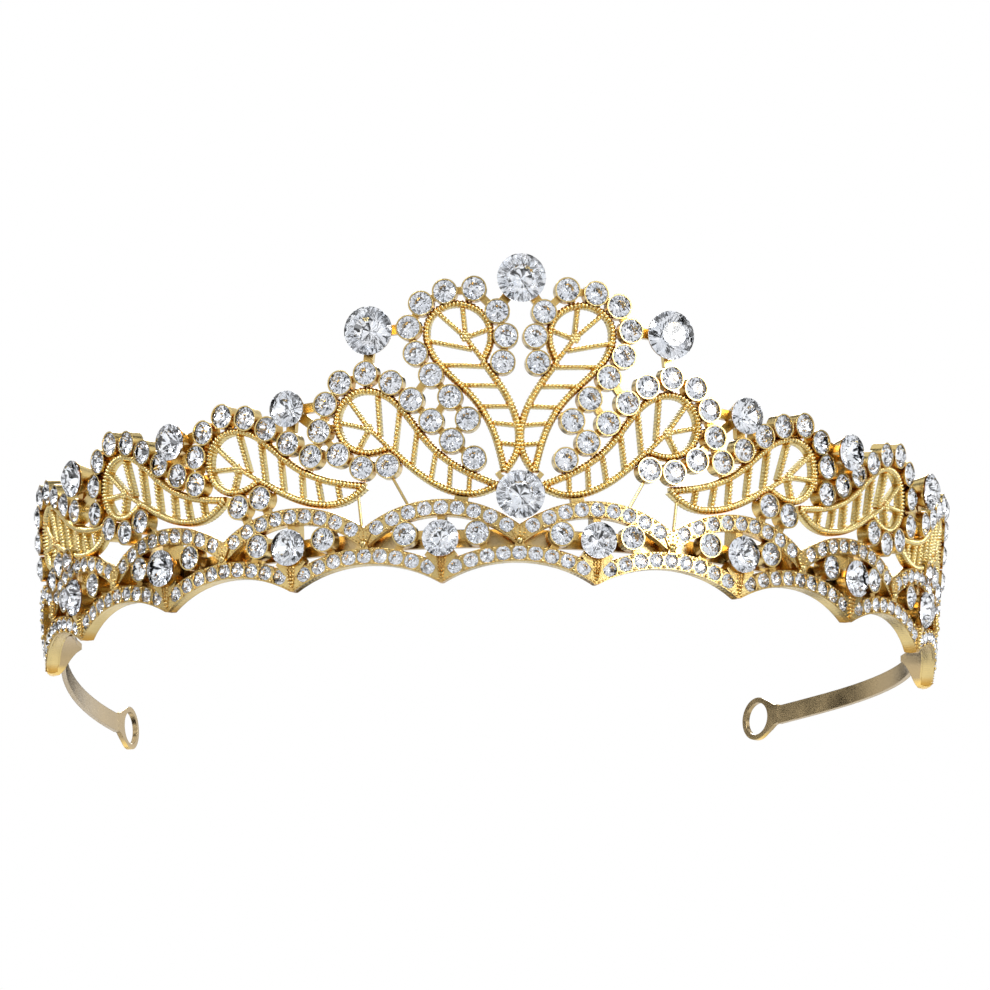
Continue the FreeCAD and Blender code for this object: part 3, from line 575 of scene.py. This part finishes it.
def build_rail_edges(material):
    """Fine notched line along both edges of every rail arc, and fluting above every cusp."""
    parts = MeshParts()
    half = CELL_PITCH / 2
    arcs = [(count * CELL_PITCH, LOWER_ROW_TOP, LOWER_ROW_RADIUS)
            for count in range(-CELLS_PER_SIDE, CELLS_PER_SIDE + 1)]
    arcs += [((count + 0.5) * CELL_PITCH, ARCH_ROW_TOP, ARCH_ROW_RADIUS)
             for count in range(-CELLS_PER_SIDE, CELLS_PER_SIDE)]
    for centre, top, radius in arcs:
        for sign in (-1, 1):
            edge_radius = radius + sign * (RAIL_HALF - RAIL_EDGE_INSET)
            along = np.linspace(-RAIL_EDGE_REACH * half, RAIL_EDGE_REACH * half,
                                int(2 * half / RAIL_EDGE_STEP))
            up = top - radius + np.sqrt(edge_radius ** 2 - along ** 2)
            line = np.stack([along + centre, up], -1)
            notched_band(parts, line, RAIL_EDGE_HALF_WIDTH, RAIL_EDGE_FRONT)
    for count in range(-CELLS_PER_SIDE, CELLS_PER_SIDE):
        for line in CUSP_LINES:
            places = smooth_line(line, BAND_STEP) + ((count + 0.5) * CELL_PITCH, 0)
            notched_band(parts, places, CUSP_RIDGE_HALF_WIDTH, CUSP_RIDGE_FRONT)
    return parts.build("rail_edges", [material], smooth_angle=SMOOTH_BAND_ANGLE)


# --- stage, light and camera ----------------------------------------------------------------------

FLOOR_REACH = 1.5
FLOOR_LEVEL = -0.0004
LIGHT_TARGET = Vector((0, -0.03, 0.03))
LIGHTS = [("key_light", (-0.5, -0.9, 0.7), 0.35, 8.0),
          ("fill_light", (0.7, -0.8, 0.2), 0.4, 5.0),
          ("back_light", (0.1, 0.9, 0.6), 0.5, 5.0)]


def build_floor():
    """Pale floor that is only seen from above, and doesn't shade what the tiara reflects."""
    mesh = bpy.data.meshes.new("floor")
    reach = FLOOR_REACH
    level = FLOOR_LEVEL
    mesh.from_pydata([(-reach, -reach, level), (reach, -reach, level), (reach, reach, level),
                      (-reach, reach, level)], [], [[0, 1, 2, 3]])
    floor = bpy.data.objects.new("floor", mesh)
    bpy.context.scene.collection.objects.link(floor)
    material, tree = new_material("floor_paper")
    shader = node(tree, "ShaderNodeBsdfPrincipled", Roughness=0.9)
    shader.inputs["Base Color"].default_value = (0.86, 0.86, 0.86, 1)
    clear = tree.nodes.new("ShaderNodeBsdfTransparent")
    mix = tree.nodes.new("ShaderNodeMixShader")
    face = tree.nodes.new("ShaderNodeNewGeometry")
    rays = tree.nodes.new("ShaderNodeLightPath")
    above = node(tree, "ShaderNodeMath", operation="SUBTRACT", use_clamp=True)
    output = tree.nodes.new("ShaderNodeOutputMaterial")
    tree.links.new(rays.outputs["Is Camera Ray"], above.inputs[0])
    tree.links.new(face.outputs["Backfacing"], above.inputs[1])
    tree.links.new(above.outputs["Value"], mix.inputs[0])
    tree.links.new(clear.outputs["BSDF"], mix.inputs[1])
    tree.links.new(shader.outputs["BSDF"], mix.inputs[2])
    tree.links.new(mix.outputs["Shader"], output.inputs["Surface"])
    mesh.materials.append(material)


def build_world():
    """White backdrop, with cards set out like spokes round the front in what is reflected."""
    world = bpy.data.worlds.new("studio")
    bpy.context.scene.world = world
    world.use_nodes = True
    tree = world.node_tree
    tree.nodes.clear()
    place = tree.nodes.new("ShaderNodeTexCoord")
    axes = tree.nodes.new("ShaderNodeSeparateXYZ")
    tree.links.new(place.outputs["Generated"], axes.inputs["Vector"])
    facing = tree.nodes.new("ShaderNodeCombineXYZ")
    tree.links.new(axes.outputs["X"], facing.inputs["X"])
    tree.links.new(axes.outputs["Z"], facing.inputs["Y"])
    turn = node(tree, "ShaderNodeTexGradient", gradient_type="RADIAL")
    tree.links.new(facing.outputs["Vector"], turn.inputs["Vector"])
    spokes = node(tree, "ShaderNodeMath", operation="MULTIPLY")
    tree.links.new(turn.outputs["Fac"], spokes.inputs[0])
    spokes.inputs[1].default_value = CARD_SPOKES
    bands = node(tree, "ShaderNodeMath", operation="MULTIPLY")
    tree.links.new(axes.outputs["Y"], bands.inputs[0])
    bands.inputs[1].default_value = CARD_BANDS
    layout = tree.nodes.new("ShaderNodeCombineXYZ")
    tree.links.new(spokes.outputs["Value"], layout.inputs["X"])
    tree.links.new(bands.outputs["Value"], layout.inputs["Y"])
    cards = node(tree, "ShaderNodeTexVoronoi", Scale=1.0)
    tree.links.new(layout.outputs["Vector"], cards.inputs["Vector"])
    split = tree.nodes.new("ShaderNodeSeparateColor")
    tree.links.new(cards.outputs["Color"], split.inputs["Color"])
    tones = ramp(tree, split.outputs[0], [(0.0, grey(0.01)), (0.3, grey(0.03)), (0.33, grey(0.95)),
                                          (1.0, grey(1.45))])
    around = node(tree, "ShaderNodeBackground", Strength=0.95)
    tree.links.new(tones, around.inputs["Color"])
    backdrop = node(tree, "ShaderNodeBackground", Strength=1.0)
    backdrop.inputs["Color"].default_value = grey(1.0)
    rays = tree.nodes.new("ShaderNodeLightPath")
    mix = tree.nodes.new("ShaderNodeMixShader")
    output = tree.nodes.new("ShaderNodeOutputWorld")
    tree.links.new(rays.outputs["Is Camera Ray"], mix.inputs[0])
    tree.links.new(around.outputs["Background"], mix.inputs[1])
    tree.links.new(backdrop.outputs["Background"], mix.inputs[2])
    tree.links.new(mix.outputs["Shader"], output.inputs["Surface"])


def area_light(name, place, size, power):
    """Round soft light that points at the tiara."""
    light = bpy.data.lights.new(name, "AREA")
    light.shape = "DISK"
    light.size = size
    light.energy = power
    lamp = bpy.data.objects.new(name, light)
    lamp.location = place
    lamp.rotation_euler = (LIGHT_TARGET - Vector(place)).to_track_quat("-Z", "Y").to_euler()
    bpy.context.scene.collection.objects.link(lamp)


def build_camera():
    """Long lens a little left of the front and below the tiara."""
    back = Vector((math.sin(CAMERA_AZIMUTH) * math.cos(CAMERA_ELEVATION),
                   -math.cos(CAMERA_AZIMUTH) * math.cos(CAMERA_ELEVATION),
                   math.sin(CAMERA_ELEVATION)))
    right = Vector((math.cos(CAMERA_AZIMUTH), math.sin(CAMERA_AZIMUTH), 0))
    upward = back.cross(right)
    data = bpy.data.cameras.new("camera")
    data.sensor_width = SENSOR_WIDTH
    data.lens = SENSOR_WIDTH * CAMERA_DISTANCE / FRAME_WIDTH
    data.clip_start = 0.1
    data.clip_end = 20.0
    camera = bpy.data.objects.new("camera", data)
    camera.location = ((right * CAMERA_SHIFT_RIGHT + upward * CAMERA_SHIFT_UP) * MM
                       + back * CAMERA_DISTANCE)
    camera.rotation_mode = "QUATERNION"
    camera.rotation_quaternion = (-back).to_track_quat("-Z", "Y")
    bpy.context.scene.collection.objects.link(camera)
    bpy.context.scene.camera = camera


# --- the scene ------------------------------------------------------------------------------------

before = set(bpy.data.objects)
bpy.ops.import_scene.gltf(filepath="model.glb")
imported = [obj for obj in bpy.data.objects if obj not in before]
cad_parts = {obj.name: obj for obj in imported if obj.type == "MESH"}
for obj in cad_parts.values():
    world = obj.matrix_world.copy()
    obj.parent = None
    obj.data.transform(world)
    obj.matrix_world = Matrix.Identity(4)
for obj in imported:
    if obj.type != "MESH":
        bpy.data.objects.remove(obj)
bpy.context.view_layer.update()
generator = np.random.default_rng(RANDOM_SEED)

# Leaf and setting gold: the darker orange hollow colour is painted shade and painted
# inter-reflected light in the recesses.
leaf_gold = gold("leaf_gold", (0.77, 0.64, 0.31), (0.70, 0.41, 0.07), (0.2, 0.8), 0.2, 0.1,
                 0.022, 0.03)
setting_gold = gold("setting_gold", (0.66, 0.51, 0.22), (0.50, 0.27, 0.04), (0.25, 0.9), 0.17,
                    0.13, 0.02, 0.08)
# Matte gold: the hollow colour is brighter than the tone. It is painted light that lifts the shaded
# hollows of the strip, loops and plates.
matte_gold = gold("matte_gold", (0.48, 0.36, 0.19), (0.92, 0.64, 0.20), (0.25, 0.85), 0.22, 0.1,
                  0.012, 0.12)
stone_materials = [crystal(), foil()]

for cad_name, cad_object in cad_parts.items():
    chosen = matte_gold if cad_name.startswith(MATTE_NODES) else setting_gold
    cad_object.data.materials.clear()
    cad_object.data.materials.append(chosen)

for stone_node, side_count in STONE_NODES.items():
    build_stones(stone_node + "_cut", stone_node, side_count, stone_materials, generator)
for leaf_number in range(1, len(CASTINGS) + 1):
    for leaf_side in (-1, 1):
        build_leaf(leaf_number, leaf_side, leaf_gold)

build_prongs("rail_prongs", ("pave_stones_lower", "pave_stones_arches"), setting_gold)
build_knots(setting_gold)
build_rail_edges(setting_gold)

build_floor()
build_world()
for light in LIGHTS:
    area_light(*light)
build_camera()
bpy.context.scene.view_settings.view_transform = "Standard"
